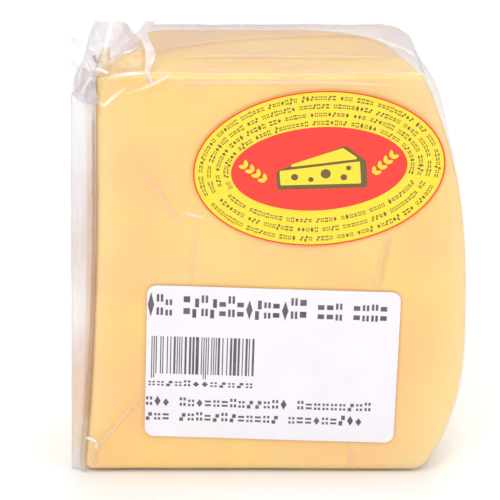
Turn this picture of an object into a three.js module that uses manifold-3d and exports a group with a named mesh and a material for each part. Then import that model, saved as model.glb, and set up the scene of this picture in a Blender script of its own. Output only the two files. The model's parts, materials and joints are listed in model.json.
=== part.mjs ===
// A wrapped piece of semi-hard cheese: one cut block in a clear film pouch, with an oval sticker
// and a price label stuck on the film over the front cut face.
// Millimetres, +Z up. The front cut face looks along -Y and the bulging rind side along +X.
// The origin is the middle of the whole pack's box in plan, on the surface that it stands on.

import * as THREE from "three";
import { mergeVertices } from "three/addons/utils/BufferGeometryUtils.js";
import Module from "manifold-3d";

// ---------------------------------------------------------------- driving dimensions

const CHEESE = {
  height: 95.5,
  depth: 46.5, // front cut face to back cut face
  left: -34.2, // the cut edge at the front's left, high up
  leftFlare: 5.2, // how much further out that edge stands at the foot
  flarePower: 2.3,
  rimTop: 39, // the rind side's line on the front cut face: at the top,
  rimBelly: 49.6, // at its fullest,
  rimFoot: 39.4, // and at the foot
  bellyHeight: 35,
  barrelPower: 2.7,
  leftTaperTop: 10.5, // how much narrower the back is than the front, on the left at the top,
  leftTaperFoot: 1.5, // on the left at the foot,
  rimTaperTop: 10, // on the rind side at the top,
  rimTaperFoot: 3, // and on the rind side at the foot
  frontCorner: 2.4, // radii of the upright corners
  rindCorner: 17,
  backCorner: 4,
  topEdge: 3, // radii of the level edges
  footEdge: 2.4,
};

const FILM = {
  wall: 0.3,
  clearance: 0.3, // air between the cheese and the film
  tentCorner: 8, // radius where the film bridges the rounded corner behind the rind side
  tentReach: -1.4, // its line there, from the rind side's front line, where minus is inward
  tentFrom: 20, // it starts to leave the cheese at this height
  tentFull: 84,
};

const SEAM = {
  topOverhang: 5.4, // from the cheese's left edge to the trimmed edge, at the top and the foot
  footOverhang: 2.8,
  setBack: 3.2, // its middle lies this far behind the front cut face
  belowTop: 5,
  mouth: 0.3, // the gap between its two layers, open over part of its height
  weldEnd: 9, // it is welded shut over this much at both ends
};

const EAR = {
  rise: 11.4, // the gathered film stands this far above the film's top
  width: 21,
  setBack: 6, // the leaf that faces the front
  sweep: 26, // length of the leaf that runs back along the top's left edge
  sweepRise: 7,
  turnIn: 4.5, // how far that leaf stands in from the edge
};

const LABEL = { width: 58, height: 37.2, corner: 2.2, x: 5, z: 27.1, turn: -1.8 };
const STICKER = { width: 56.8, height: 36.2, x: 15.5, z: 74.2, turn: 4 };
const PAPER = { thickness: 0.3, clearance: 0.3 };

const STEPS = { corner: 7, edge: 5, wall: 18, oval: 72 };
const LEAST_CORNER = 0.3;

const LOOKS = {
  cheese: { color: 0xf6cf86, roughness: 0.55, metalness: 0 },
  film: { color: 0xe9e6ea, roughness: 0.12, metalness: 0 },
  sticker: { color: 0xf7dc3a, roughness: 0.4, metalness: 0 },
  label: { color: 0xf1eef4, roughness: 0.6, metalness: 0 },
};

// what follows from them
const SKIN = FILM.clearance + FILM.wall; // cheese to the film's outside
const LEAF = 2 * FILM.wall + SEAM.mouth; // two layers of film and the air between them
const FOOT_Z = SKIN;
const TOP_Z = FOOT_Z + CHEESE.height;
const PACK_TOP = TOP_Z + SKIN;
const HALF_TURN = Math.PI / 2;

const { lerp, smoothstep, degToRad } = THREE.MathUtils;

// ---------------------------------------------------------------- helpers

const wasm = await Module();
wasm.setup();

function toSolid(geometry) {
  const bare = geometry.clone();
  bare.deleteAttribute("normal");
  bare.deleteAttribute("uv");
  const merged = mergeVertices(bare, 1e-5);
  const mesh = new wasm.Mesh({
    numProp: 3,
    vertProperties: new Float32Array(merged.attributes.position.array),
    triVerts: new Uint32Array(merged.index.array),
  });
  return new wasm.Manifold(mesh);
}

function toGeometry(solid) {
  const { vertProperties, triVerts } = solid.getMesh();
  const geometry = new THREE.BufferGeometry();
  geometry.setAttribute("position", new THREE.BufferAttribute(vertProperties, 3));
  geometry.setIndex(new THREE.BufferAttribute(triVerts, 1));
  geometry.computeVertexNormals();
  return geometry;
}

function namedMesh(name, geometry, look) {
  const mesh = new THREE.Mesh(geometry, new THREE.MeshStandardMaterial(look));
  mesh.name = name;
  return mesh;
}

// A closed skin over rings of equally many points, lowest ring first, each ring running
// anticlockwise seen from above. Fans close both ends.
function loft(rings) {
  const count = rings[0].length;
  const middle = (ring) =>
    ring.reduce((sum, p) => sum.add(p), new THREE.Vector3()).divideScalar(count);
  const points = [...rings.flat(), middle(rings[0]), middle(rings.at(-1))];
  const [foot, head] = [points.length - 2, points.length - 1];
  const lastRing = (rings.length - 1) * count;
  const faces = [];
  for (let i = 0; i < count; i++) {
    const next = (i + 1) % count;
    faces.push(foot, next, i, head, lastRing + i, lastRing + next);
    for (let start = 0; start < lastRing; start += count) {
      const [a, b] = [start + i, start + next];
      faces.push(a, b, b + count, a, b + count, a + count);
    }
  }
  const geometry = new THREE.BufferGeometry().setFromPoints(points);
  geometry.setIndex(faces);
  return geometry;
}

// The heights of a block's rings. `inset` draws a ring in where the level edges are rounded.
function levels(bottom, top, footEdge, topEdge) {
  const list = [];
  for (let k = 0; k <= STEPS.edge; k++) {
    const angle = HALF_TURN * (k / STEPS.edge);
    list.push({
      z: bottom + footEdge * (1 - Math.cos(angle)),
      inset: footEdge * (1 - Math.sin(angle)),
    });
  }
  for (let k = 1; k < STEPS.wall; k++) {
    list.push({ z: lerp(bottom + footEdge, top - topEdge, k / STEPS.wall), inset: 0 });
  }
  for (let k = 0; k <= STEPS.edge; k++) {
    const angle = HALF_TURN * (k / STEPS.edge);
    list.push({
      z: top - topEdge * (1 - Math.sin(angle)),
      inset: topEdge * (1 - Math.cos(angle)),
    });
  }
  return list;
}

// A level outline with rounded corners, its sides moved out by `out`.
function roundedRing(corners, z, out) {
  const count = corners.length;
  const sides = corners.map(({ at }, i) => {
    const along = corners[(i + 1) % count].at.clone().sub(at).normalize();
    const normal = new THREE.Vector2(along.y, -along.x);
    return { along, normal, start: at.clone().addScaledVector(normal, out) };
  });
  return corners.flatMap(({ radius }, i) => {
    const before = sides[(i + count - 1) % count];
    const after = sides[i];
    const turn = Math.acos(before.along.dot(after.along));
    const step = after.start.clone().sub(before.start);
    const reach = step.cross(after.along) / before.along.cross(after.along);
    const tip = before.start.clone().addScaledVector(before.along, reach);
    const round = Math.max(radius + out, LEAST_CORNER);
    const centre = tip
      .addScaledVector(before.along, -round * Math.tan(turn / 2))
      .addScaledVector(before.normal, -round);
    const from = Math.atan2(before.normal.y, before.normal.x);
    return Array.from({ length: STEPS.corner + 1 }, (_, k) => {
      const angle = from + (turn * k) / STEPS.corner;
      const [x, y] = [centre.x + round * Math.cos(angle), centre.y + round * Math.sin(angle)];
      return new THREE.Vector3(x, y, z);
    });
  });
}

// ---------------------------------------------------------------- the block's lines

// Each takes a height above the cheese's own foot.

function leftLine(h) {
  const down = THREE.MathUtils.clamp(1 - h / CHEESE.height, 0, 1);
  return CHEESE.left - CHEESE.leftFlare * down ** CHEESE.flarePower;
}

function rimLine(h) {
  const up = h > CHEESE.bellyHeight;
  const end = up ? CHEESE.rimTop : CHEESE.rimFoot;
  const span = up ? CHEESE.height - CHEESE.bellyHeight : CHEESE.bellyHeight;
  const share = Math.min(Math.abs(h - CHEESE.bellyHeight) / span, 1);
  return CHEESE.rimBelly - (CHEESE.rimBelly - end) * share ** CHEESE.barrelPower;
}

function leftTaper(h) {
  return lerp(CHEESE.leftTaperFoot, CHEESE.leftTaperTop, h / CHEESE.height);
}

function rimTaper(h) {
  return lerp(CHEESE.rimTaperFoot, CHEESE.rimTaperTop, h / CHEESE.height);
}

// Corners in order: front left, front right, back right, back left.
function blockCorners(h, tent) {
  const bridged = tent * smoothstep(h, FILM.tentFrom, FILM.tentFull);
  const [left, rim] = [leftLine(h), rimLine(h)];
  const backRim = lerp(rim - rimTaper(h), rim + FILM.tentReach, bridged);
  const rindCorner = lerp(CHEESE.rindCorner, FILM.tentCorner, bridged);
  return [
    { at: new THREE.Vector2(left, 0), radius: CHEESE.frontCorner },
    { at: new THREE.Vector2(rim, 0), radius: CHEESE.frontCorner },
    { at: new THREE.Vector2(backRim, CHEESE.depth), radius: rindCorner },
    { at: new THREE.Vector2(left + leftTaper(h), CHEESE.depth), radius: CHEESE.backCorner },
  ];
}

function block(out, tent) {
  const rows = levels(FOOT_Z - out, TOP_Z + out, CHEESE.footEdge + out, CHEESE.topEdge + out);
  return loft(
    rows.map(({ z, inset }) => {
      const h = THREE.MathUtils.clamp(z - FOOT_Z, 0, CHEESE.height);
      return roundedRing(blockCorners(h, tent), z, out - inset);
    }),
  );
}

// ---------------------------------------------------------------- sub-parts

function cheeseBlock() {
  return block(0, 0);
}

// An upright strip beside the left edge, `half` its thickness, from inside the pouch's wall to
// `beyond` past the trimmed edge.
function seamStrip(bottom, top, half, beyond, rootIn) {
  const rows = 12;
  return loft(
    Array.from({ length: rows + 1 }, (_, k) => {
      const z = lerp(bottom, top, k / rows);
      const h = THREE.MathUtils.clamp(z - FOOT_Z, 0, CHEESE.height);
      const overhang = lerp(SEAM.footOverhang, SEAM.topOverhang, h / CHEESE.height);
      const outer = leftLine(h) - overhang - beyond;
      const root = leftLine(h) + rootIn;
      const [near, far] = [SEAM.setBack - half, SEAM.setBack + half];
      return [
        new THREE.Vector3(outer, near, z),
        new THREE.Vector3(root, near, z),
        new THREE.Vector3(root, far, z),
        new THREE.Vector3(outer, far, z),
      ];
    }),
  );
}

// A standing leaf of gathered film: an outline of (along, up) points, given its thickness and
// turned about the upright through its start.
function leaf(points, start, turn) {
  const shape = new THREE.Shape(points.map(([along, up]) => new THREE.Vector2(along, up)));
  const geometry = new THREE.ExtrudeGeometry(shape, { depth: LEAF, bevelEnabled: false });
  geometry.rotateX(HALF_TURN);
  geometry.translate(0, LEAF / 2, 0);
  geometry.rotateZ(turn);
  geometry.translate(start.x, start.y, start.z);
  return geometry;
}

// The leaf that faces the front: up from the seam's top, with a dip in its upper edge.
function frontLeaf() {
  const { rise, width } = EAR;
  const root = -CHEESE.topEdge - SKIN;
  const points = [
    [0, root - SEAM.belowTop],
    [width * 0.4, root],
    [width, root],
    [width * 0.86, rise * 0.3],
    [width, rise],
    [width * 0.76, rise],
    [width * 0.58, rise * 0.55],
    [width * 0.42, rise],
    [width * 0.16, rise],
    [width * 0.02, rise * 0.25],
    [-width * 0.1, -rise * 0.15],
    [-width * 0.14, root - SEAM.belowTop],
  ];
  const start = new THREE.Vector3(leftLine(CHEESE.height) - 1, EAR.setBack, PACK_TOP);
  return leaf(points, start, 0);
}

// The leaf that runs back beside the top's left edge, dying away at its end.
function sweptLeaf() {
  const { sweep, sweepRise } = EAR;
  const root = -CHEESE.topEdge - SKIN;
  const points = [
    [0, root],
    [sweep, root],
    [sweep, 0],
    [sweep * 0.7, sweepRise * 0.35],
    [sweep * 0.4, sweepRise * 0.5],
    [sweep * 0.15, sweepRise],
    [0, sweepRise * 0.9],
  ];
  const slant = Math.atan2(CHEESE.depth, CHEESE.leftTaperTop);
  const start = new THREE.Vector3(leftLine(CHEESE.height) + EAR.turnIn, EAR.setBack - LEAF, PACK_TOP);
  return leaf(points, start, slant);
}

function filmWrap() {
  const inside = toSolid(block(FILM.clearance, 1));
  const seamTop = PACK_TOP - SEAM.belowTop;
  const rootIn = CHEESE.frontCorner;
  const strip = seamStrip(0, seamTop, LEAF / 2, 0, rootIn);
  const past = LEAF;
  const slitRoot = 2 * CHEESE.frontCorner;
  const slit = seamStrip(SEAM.weldEnd, seamTop - SEAM.weldEnd, SEAM.mouth / 2, past, slitRoot);
  const solid = toSolid(block(SKIN, 1))
    .add(toSolid(strip))
    .add(toSolid(frontLeaf()))
    .add(toSolid(sweptLeaf()))
    .subtract(inside)
    .subtract(toSolid(slit));
  return toGeometry(solid);
}

// A flat piece stuck on the film's front, facing -Y: its outline is upright, seen from the front.
function stuckOn(shape, place) {
  const options = { depth: PAPER.thickness, bevelEnabled: false, curveSegments: STEPS.corner };
  const geometry = new THREE.ExtrudeGeometry(shape, options);
  geometry.rotateZ(degToRad(place.turn));
  geometry.rotateX(HALF_TURN);
  geometry.translate(place.x, -SKIN - PAPER.clearance, FOOT_Z + place.z);
  return geometry;
}

function priceLabel() {
  const [w, h, r] = [LABEL.width / 2, LABEL.height / 2, LABEL.corner];
  const shape = new THREE.Shape();
  shape.moveTo(-w + r, -h);
  shape.absarc(w - r, -h + r, r, -HALF_TURN, 0);
  shape.absarc(w - r, h - r, r, 0, HALF_TURN);
  shape.absarc(-w + r, h - r, r, HALF_TURN, 2 * HALF_TURN);
  shape.absarc(-w + r, -h + r, r, 2 * HALF_TURN, 3 * HALF_TURN);
  return stuckOn(shape, LABEL);
}

function ovalSticker() {
  const oval = new THREE.EllipseCurve(0, 0, STICKER.width / 2, STICKER.height / 2);
  const points = oval.getPoints(STEPS.oval).slice(0, -1);
  return stuckOn(new THREE.Shape(points), STICKER);
}

// ---------------------------------------------------------------- the assembly

const pack = new THREE.Group();
pack.add(
  namedMesh("cheese_wedge", cheeseBlock(), LOOKS.cheese),
  namedMesh("film_wrap", filmWrap(), LOOKS.film),
  namedMesh("oval_sticker", ovalSticker(), LOOKS.sticker),
  namedMesh("price_label", priceLabel(), LOOKS.label),
);

const middle = new THREE.Box3().setFromObject(pack).getCenter(new THREE.Vector3());
pack.position.set(-middle.x, -middle.y, 0);

export default pack;
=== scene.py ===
import json
import math
import random

import bpy
from bpy.props import FloatProperty, FloatVectorProperty, IntProperty, PointerProperty
from bpy.types import Operator, Panel, PropertyGroup
from mathutils import Matrix, Vector, noise
from mathutils.bvhtree import BVHTree

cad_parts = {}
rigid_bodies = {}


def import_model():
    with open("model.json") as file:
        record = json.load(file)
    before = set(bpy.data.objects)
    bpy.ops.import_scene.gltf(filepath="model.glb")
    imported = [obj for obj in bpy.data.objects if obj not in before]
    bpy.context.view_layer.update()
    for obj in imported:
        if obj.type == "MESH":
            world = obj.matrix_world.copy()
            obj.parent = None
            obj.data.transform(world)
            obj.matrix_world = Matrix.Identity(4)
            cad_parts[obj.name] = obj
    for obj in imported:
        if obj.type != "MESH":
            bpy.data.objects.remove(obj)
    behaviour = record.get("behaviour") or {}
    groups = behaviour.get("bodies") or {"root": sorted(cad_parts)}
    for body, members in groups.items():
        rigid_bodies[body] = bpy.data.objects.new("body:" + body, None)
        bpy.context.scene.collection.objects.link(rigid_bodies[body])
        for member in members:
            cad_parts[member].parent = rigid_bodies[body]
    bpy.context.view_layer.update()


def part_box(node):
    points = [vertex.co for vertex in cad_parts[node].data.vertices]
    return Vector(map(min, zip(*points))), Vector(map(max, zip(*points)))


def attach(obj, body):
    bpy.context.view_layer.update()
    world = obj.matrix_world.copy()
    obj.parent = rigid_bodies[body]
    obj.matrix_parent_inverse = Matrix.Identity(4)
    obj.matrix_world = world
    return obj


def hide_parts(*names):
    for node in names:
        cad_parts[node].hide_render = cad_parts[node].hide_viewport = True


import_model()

bl_info = {
    "name": "Wrapped cheese wedge",
    "version": (1, 0, 0),
    "blender": (4, 5, 0),
    "location": "3D View > Sidebar > Cheese",
    "description": "A cut wedge of cheese in clear film, with its sticker and price label",
    "category": "Add Mesh",
}

MM = 0.001
CHEESE_LOW, CHEESE_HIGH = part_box("cheese_wedge")
FILM_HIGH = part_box("film_wrap")[1]
RIND_BELLY = 49.6  # X of the CAD block's fullest line on the rind side
FILM_SKIN = 0.6  # from there to the outer face of the CAD film
# Everything is drawn in millimetres from one corner line: X from that line, Y back from the front
# cut face, Z up from the cheese's foot.
BLOCK_ORIGIN = Vector((FILM_HIGH.x - (RIND_BELLY + FILM_SKIN) * MM, CHEESE_LOW.y, CHEESE_LOW.z))


# ---------------------------------------------------------------- sizes and colours


def length(name, description, mm):
    return FloatProperty(
        name=name, description=description, default=mm * MM, unit="LENGTH", precision=5
    )


def colour(name, description, rgb):
    return FloatVectorProperty(
        name=name, description=description, default=rgb, subtype="COLOR", min=0, max=1, size=3
    )


class PackBlockSizes(PropertyGroup):
    height: length("Height", "Foot to top of the cheese", (CHEESE_HIGH.z - CHEESE_LOW.z) / MM)
    depth: length("Depth", "Front to back cut face", (CHEESE_HIGH.y - CHEESE_LOW.y) / MM)
    left: length("Left edge", "Front left edge at the top", -35)
    left_flare: length("Left flare", "How far that edge stands out at the foot", 4.4)
    rim_top: length("Rind at the top", "Front right edge at the top", 39)
    rim_belly: length("Rind at its fullest", "Front right edge at its fullest", RIND_BELLY + 0.3)
    rim_foot: length("Rind at the foot", "Front right edge at the foot", 40.4)
    belly_height: length("Belly height", "Height of the fullest line", 35)
    left_taper_top: length("Left taper, top", "Narrowing to the back, top left", 10.5)
    left_taper_foot: length("Left taper, foot", "Narrowing to the back, foot left", 1.5)
    rim_taper_top: length("Rind taper, top", "Narrowing to the back, top right", 10)
    rim_taper_foot: length("Rind taper, foot", "Narrowing to the back, foot right", 3)
    front_corner: length("Cut edge radius", "Upright edges of the front cut", 2.4)
    rind_corner: length("Rind corner radius", "Upright corner behind the rind side", 22)
    back_corner: length("Back corner radius", "Upright edge at the back left", 4)
    top_edge: length("Top edge radius", "Level edges at the top", 1.6)
    foot_edge: length("Foot edge radius", "Level edges at the foot", 2.4)
    waviness: length("Waviness", "How uneven the cut faces are", 0.16)


class PackFilmSizes(PropertyGroup):
    stand_off: length("Stand-off", "Film's middle from the cheese where it clings", 0.45)
    thickness: length("Thickness", "Of one layer of film", 0.05)
    tent_corner: length("Tent corner", "Radius where the film bridges the rind corner", 10)
    tent_reach: length("Tent reach", "Its line there from the front right edge, minus inward", -3.2)
    tent_from: length("Tent from", "Height where it leaves the cheese", 20)
    tent_full: length("Tent full", "Height where it is furthest off", 84)
    seam_foot: length("Seam edge, foot", "Where the seam is trimmed, on the left at the foot", -42)
    seam_top: length("Seam edge, top", "Where the seam is trimmed, on the left at the top", -39.9)
    seed: IntProperty(name="Seed", description="Of the film's creases", default=7)


class PackLabelSizes(PropertyGroup):
    width: length("Label width", "Price label", 58)
    height: length("Label height", "Price label", 37.2)
    corner: length("Label corner", "Radius of the price label's corners", 2.2)
    oval_width: length("Sticker width", "Oval sticker", 56.8)
    oval_height: length("Sticker height", "Oval sticker", 36.2)
    paper: length("Paper", "Thickness of label and sticker", 0.09)
    ink: length("Ink", "Thickness of the print", 0.03)
    lift: length("Lift", "From the film's middle to the back of label and sticker", 0.09)
    seed: IntProperty(name="Seed", description="Of the blank print's pattern", default=11)


class PackColours(PropertyGroup):
    paste: colour("Cheese", "Cut faces", (0.93, 0.62, 0.195))
    paste_warm: colour("Cheese, deeper", "Slow patches in the cut faces", (0.93, 0.555, 0.2))
    # The pale cheese colour also serves as the painted highlight along the cut's rounded edges.
    paste_pale: colour("Cheese, pale", "Towards the edges and the rind", (0.89, 0.68, 0.33))
    film_haze: colour("Film haze", "Folded or lifted film", (0.70, 0.59, 0.64))
    # A painted shadow: the dark brown line where the film turns round the cheese's left edge.
    film_root_shade: colour("Film over cheese", "Film that glows with the cheese", (0.56, 0.30, 0.13))
    label: colour("Label", "Price label paper", (0.82, 0.795, 0.845))
    label_ink: colour("Label ink", "Thermal print", (0.075, 0.055, 0.075))
    sticker: colour("Sticker", "Oval sticker ground", (0.92, 0.69, 0.022))
    sticker_red: colour("Sticker red", "Inner oval", (0.9, 0.03, 0.014))
    sticker_ink: colour("Sticker ink", "Small print on the sticker", (0.14, 0.09, 0.012))
    floor: colour("Floor", "Studio floor", (0.985, 0.985, 0.985))


def sizes(context):
    """Each size in millimetres by name, with a prefix for the film's and the labels' own."""
    scene = context.scene
    groups = (("", scene.pack_block), ("film_", scene.pack_film), ("label_", scene.pack_labels))
    found = {}
    for prefix, group in groups:
        for key in group.bl_rna.properties.keys():
            value = getattr(group, key)
            if isinstance(value, float):
                found[prefix + key] = value / MM
            elif isinstance(value, int):
                found[prefix + key] = value
    return found


# ---------------------------------------------------------------- small helpers


def lerp(a, b, t):
    return a + (b - a) * t


def smooth(x, low, high):
    t = min(max((x - low) / (high - low), 0.0), 1.0)
    return t * t * (3 - 2 * t)


def wobble(x, y, z, scale, shift=0.0):
    return noise.noise(Vector((x * scale + shift, y * scale - shift, z * scale + 2 * shift)))


def line_at(points, x):
    """The height at x of a smooth line through (x, y) points."""
    if x <= points[0][0]:
        return points[0][1]
    for (x0, y0), (x1, y1) in zip(points, points[1:]):
        if x <= x1:
            return lerp(y0, y1, smooth(x, x0, x1) * 0.4 + 0.6 * (x - x0) / (x1 - x0))
    return points[-1][1]


def through(points, count):
    """count points on a smooth curve through the given ones, evenly spread over its stretches."""
    ends = [points[0] * 2 - points[1], *points, points[-1] * 2 - points[-2]]
    found = []
    for k in range(count):
        t = k / (count - 1) * (len(points) - 1)
        i = min(int(t), len(points) - 2)
        u = t - i
        a, b, c, d = ends[i : i + 4]
        square, cube = 2 * a - 5 * b + 4 * c - d, 3 * b - a - 3 * c + d
        found.append(0.5 * (2 * b + (c - a) * u + square * u**2 + cube * u**3))
    return found


def to_frame(point):
    return BLOCK_ORIGIN + Vector(point) * MM


def make_piece(name, points, faces, material, node, tones=None, flat=False):
    """A mesh piece from points in block millimetres, riding on the pack."""
    mesh = bpy.data.meshes.new(name)
    mesh.from_pydata([to_frame(p) for p in points], [], faces)
    mesh.polygons.foreach_set("use_smooth", [not flat] * len(mesh.polygons))
    if tones:
        layer = mesh.attributes.new("film_tone", "FLOAT_COLOR", "POINT")
        layer.data.foreach_set("color", [c for tone in tones for c in tone])
    mesh.update()
    piece = bpy.data.objects.new(name, mesh)
    bpy.context.collection.objects.link(piece)
    mesh.materials.append(material)
    return declare(piece, node)


def declare(piece, node):
    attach(piece, "root")
    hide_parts(node)
    return piece


def normals_of(points, faces):
    """The smooth normal at each point."""
    mesh = bpy.data.meshes.new("scratch")
    mesh.from_pydata(points, [], faces)
    mesh.update()
    found = [Vector(n.vector) for n in mesh.vertex_normals]
    bpy.data.meshes.remove(mesh)
    return found


# ---------------------------------------------------------------- the block's lines


# How sharply the front's edges turn near their ends: the left flare, and the rind above and below.
LEFT_POWER, RIM_POWER_UP, RIM_POWER_DOWN = 2.3, 2.7, 2.6
SMALLEST_CORNER = 0.3
# Steps along each side, round each corner, up the walls, over a level edge and across an end.
CHEESE_STEPS = ((56, 34, 50, 34), (5, 5, 10, 6), 66, 5, 16)
FILM_STEPS = ((64, 44, 58, 44), (6, 6, 12, 6), 84, 5, 18)


def left_line(s, h):
    """X of the front left edge at a height."""
    down = min(max(1 - h / s["height"], 0), 1)
    return s["left"] - s["left_flare"] * down**LEFT_POWER


def rim_line(s, h):
    """X of the front right edge at a height: a barrel line, fullest at the belly."""
    up = h > s["belly_height"]
    end = s["rim_top"] if up else s["rim_foot"]
    span = s["height"] - s["belly_height"] if up else s["belly_height"]
    share = min(abs(h - s["belly_height"]) / span, 1)
    power = RIM_POWER_UP if up else RIM_POWER_DOWN
    return s["rim_belly"] - (s["rim_belly"] - end) * share**power


def block_corners(s, h, tent):
    """Each upright corner and its radius, from the front left. tent is 0 for cheese, 1 for film."""
    h = min(max(h, 0), s["height"])
    share = h / s["height"]
    bridged = tent * smooth(h, s["film_tent_from"], s["film_tent_full"])
    left, rim = left_line(s, h), rim_line(s, h)
    taper = lerp(s["rim_taper_foot"], s["rim_taper_top"], share)
    back_rim = lerp(rim - taper, rim + s["film_tent_reach"], bridged)
    back_left = left + lerp(s["left_taper_foot"], s["left_taper_top"], share)
    return [
        (Vector((left, 0)), s["front_corner"]),
        (Vector((rim, 0)), s["front_corner"]),
        (Vector((back_rim, s["depth"])), lerp(s["rind_corner"], s["film_tent_corner"], bridged)),
        (Vector((back_left, s["depth"])), s["back_corner"]),
    ]


def rounded_ring(corners, out, side_steps, corner_steps):
    """Points round a level outline whose sides are moved out by out."""
    count = len(corners)
    sides = []
    for i, (at, _) in enumerate(corners):
        along = (corners[(i + 1) % count][0] - at).normalized()
        normal = Vector((along.y, -along.x))
        sides.append((along, normal, at + normal * out))
    arcs = []
    for i, (_, radius) in enumerate(corners):
        before, after = sides[i - 1], sides[i]
        turn = math.acos(before[0].dot(after[0]))
        step = after[2] - before[2]
        reach = step.cross(after[0]) / before[0].cross(after[0])
        round_off = max(radius + out, SMALLEST_CORNER)
        tip = before[2] + before[0] * reach
        centre = tip - before[0] * round_off * math.tan(turn / 2) - before[1] * round_off
        start = math.atan2(before[1].y, before[1].x)
        steps = corner_steps[i]
        angles = [start + turn * k / steps for k in range(steps + 1)]
        arcs.append([centre + Vector((math.cos(a), math.sin(a))) * round_off for a in angles])
    ring = []
    for i, arc in enumerate(arcs):
        ring += arc
        following = arcs[(i + 1) % count][0]
        ring += [arc[-1].lerp(following, k / side_steps[i]) for k in range(1, side_steps[i])]
    return ring


def block_rings(s, out, tent, side_steps, corner_steps, wall_steps, edge_steps, cap_steps):
    """Rings from the middle of the underside, up the walls, to the middle of the top."""
    low, high = -out, s["height"] + out
    foot, top = s["foot_edge"] + out, s["top_edge"] + out
    levels = []
    for k in range(edge_steps + 1):
        angle = math.pi / 2 * k / edge_steps
        levels.append((low + foot * (1 - math.cos(angle)), foot * (1 - math.sin(angle))))
    for k in range(1, wall_steps):
        levels.append((lerp(low + foot, high - top, k / wall_steps), 0))
    for k in range(edge_steps + 1):
        angle = math.pi / 2 * k / edge_steps
        levels.append((high - top * (1 - math.sin(angle)), top * (1 - math.cos(angle))))
    walls = []
    for z, inset in levels:
        ring = rounded_ring(block_corners(s, z, tent), out - inset, side_steps, corner_steps)
        walls.append([Vector((p.x, p.y, z)) for p in ring])
    return cap_rings(walls[0], cap_steps)[::-1] + walls + cap_rings(walls[-1], cap_steps)


def cap_rings(edge, steps):
    """Rings from just inside the edge to close round the middle line of a flat end."""
    middle = sum(edge, Vector()) / len(edge)
    found = []
    for k in range(1, steps):
        share = 1 - k / steps
        found.append([middle + (p - middle) * share for p in edge])
    return found


def skin_faces(ring_count, count):
    """Quads between rings, and a fan at each end on two more points."""
    faces = []
    for r in range(ring_count - 1):
        a = r * count
        for i in range(count):
            n = (i + 1) % count
            faces.append((a + i, a + n, a + count + n, a + count + i))
    low, high = ring_count * count, ring_count * count + 1
    last = (ring_count - 1) * count
    for i in range(count):
        n = (i + 1) % count
        faces.append((low, n, i))
        faces.append((high, last + i, last + n))
    return faces


def skinned(rings):
    """Points and faces of a closed skin over rings."""
    points = [p for ring in rings for p in ring]
    points += [sum(rings[0], Vector()) / len(rings[0]), sum(rings[-1], Vector()) / len(rings[-1])]
    return points, skin_faces(len(rings), len(rings[0]))


def film_front(s, x, z):
    """How far the film's middle lies in front of the front cut face."""
    swell, ripple = wobble(x, 0, z, 0.045, 3.1), wobble(x, 0, z, 0.16, 8.3)
    return s["film_stand_off"] + 0.13 * swell + 0.05 * ripple


# ---------------------------------------------------------------- looks


class Wiring:
    """Short calls for one node tree's nodes and links."""

    def __init__(self, tree):
        self.tree = tree

    def node(self, kind, inputs=(), **settings):
        made = self.tree.nodes.new(kind)
        for key, value in settings.items():
            setattr(made, key, value)
        for key, value in dict(inputs).items():
            self.feed(made.inputs[key], value)
        return made

    def feed(self, socket, value):
        if isinstance(value, bpy.types.NodeSocket):
            self.tree.links.new(value, socket)
        else:
            socket.default_value = value

    def math(self, operation, *values):
        return self.node("ShaderNodeMath", enumerate(values), operation=operation).outputs[0]

    def noise(self, at, scale, detail=2.0, roughness=0.5):
        inputs = {"Vector": at, "Scale": scale, "Detail": detail, "Roughness": roughness}
        return self.node("ShaderNodeTexNoise", inputs).outputs["Fac"]

    def remap(self, value, low, high, to_low=0.0, to_high=1.0):
        inputs = {"Value": value, "From Min": low, "From Max": high}
        inputs |= {"To Min": to_low, "To Max": to_high}
        return self.node("ShaderNodeMapRange", inputs).outputs["Result"]

    def mix(self, factor, a, b):
        made = self.node("ShaderNodeMix", data_type="RGBA")
        self.feed(made.inputs["Factor"], factor)
        self.feed(made.inputs[6], a)
        self.feed(made.inputs[7], b)
        return made.outputs[2]


def rgba(rgb, shade=1.0):
    return (*[min(c * shade, 1.0) for c in rgb], 1.0)


def blank_material(name):
    material = bpy.data.materials.new(name)
    material.use_nodes = True
    material.node_tree.nodes.clear()
    wires = Wiring(material.node_tree)
    at = wires.node("ShaderNodeTexCoord").outputs["Object"]
    return material, wires, at


def mottle_group():
    """Slow shading and fine grain over a surface, with a height to bump it by."""
    found = bpy.data.node_groups.get("surface mottle")
    if found:
        return found
    tree = bpy.data.node_groups.new("surface mottle", "ShaderNodeTree")
    sockets = tree.interface
    sockets.new_socket("Position", in_out="INPUT", socket_type="NodeSocketVector")
    for name in ("Slow scale", "Grain scale", "Grain share"):
        sockets.new_socket(name, in_out="INPUT", socket_type="NodeSocketFloat")
    sockets.new_socket("Shade", in_out="OUTPUT", socket_type="NodeSocketFloat")
    sockets.new_socket("Height", in_out="OUTPUT", socket_type="NodeSocketFloat")
    wires = Wiring(tree)
    given = wires.node("NodeGroupInput").outputs
    slow = wires.noise(given["Position"], given["Slow scale"], 3.0)
    grain = wires.noise(given["Position"], given["Grain scale"], 4.0, 0.6)
    share = wires.math("MULTIPLY", grain, given["Grain share"])
    height = wires.math("ADD", slow, share)
    put = wires.node("NodeGroupOutput")
    wires.feed(put.inputs["Shade"], slow)
    wires.feed(put.inputs["Height"], height)
    return tree


def mottle(wires, at, slow, grain, share):
    inputs = {"Position": at, "Slow scale": slow, "Grain scale": grain, "Grain share": share}
    made = wires.tree.nodes.new("ShaderNodeGroup")
    made.node_tree = mottle_group()
    for key, value in inputs.items():
        wires.feed(made.inputs[key], value)
    return made.outputs["Shade"], made.outputs["Height"]


def bumped(wires, height, distance, strength=1.0):
    inputs = {"Height": height, "Distance": distance, "Strength": strength}
    return wires.node("ShaderNodeBump", inputs).outputs["Normal"]


def finish_material(wires, shader):
    put = wires.node("ShaderNodeOutputMaterial")
    wires.feed(put.inputs["Surface"], shader)


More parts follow.
